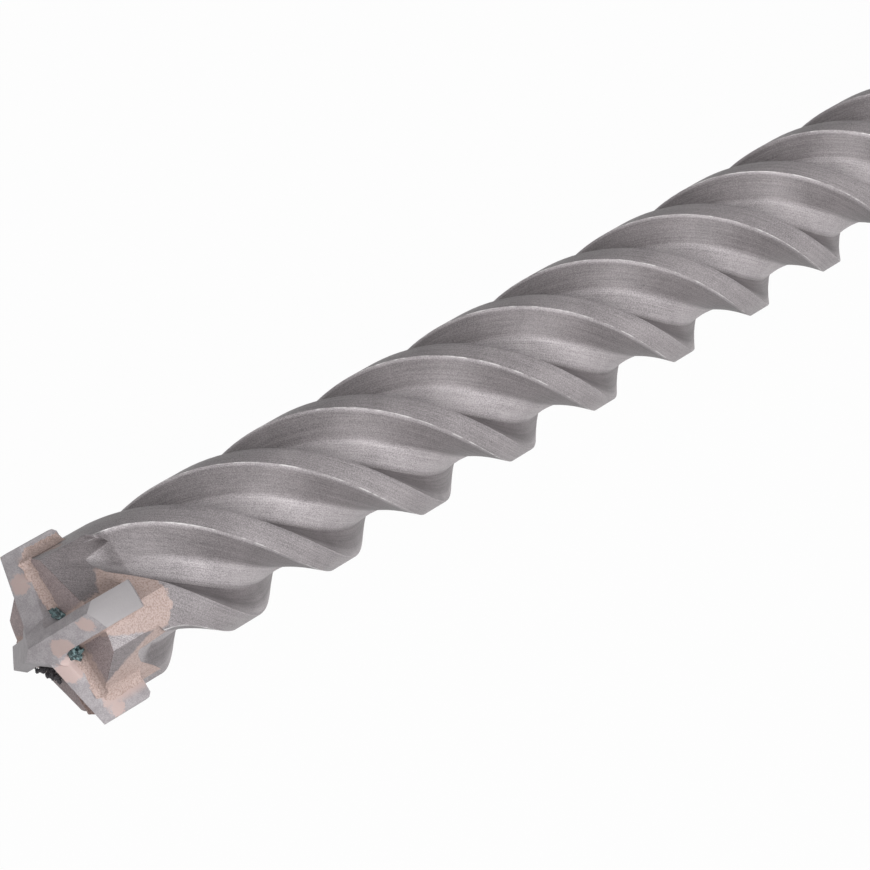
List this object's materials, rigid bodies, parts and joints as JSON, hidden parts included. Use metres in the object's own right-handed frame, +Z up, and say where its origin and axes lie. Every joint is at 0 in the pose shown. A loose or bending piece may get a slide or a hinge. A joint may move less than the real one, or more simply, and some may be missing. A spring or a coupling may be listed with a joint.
{
  "type": "hammer drill bit",
  "caption": "Long rotary hammer drill bit with a brazed cross-shaped carbide tip, four spiral flutes and a grooved round shank.",
  "frame": {"origin": "centre of the striking face at the rear end of the shank", "axes": "+X along the drill from the striking face to the point, +Z up as the drill lies on its flute lands, arms of the tip crossed at 45 degrees to the ground"},
  "size_m": [0.52, 0.0278, 0.0278],
  "materials": {
    "steel": "blasted matt steel",
    "carbide": "matt grey sintered carbide",
    "braze": "rough copper-coloured brazing alloy"
  },
  "bodies": {
    "root": {"steel_body": "steel", "carbide_tip": "carbide", "braze": "braze"}
  },
  "joints": []
}
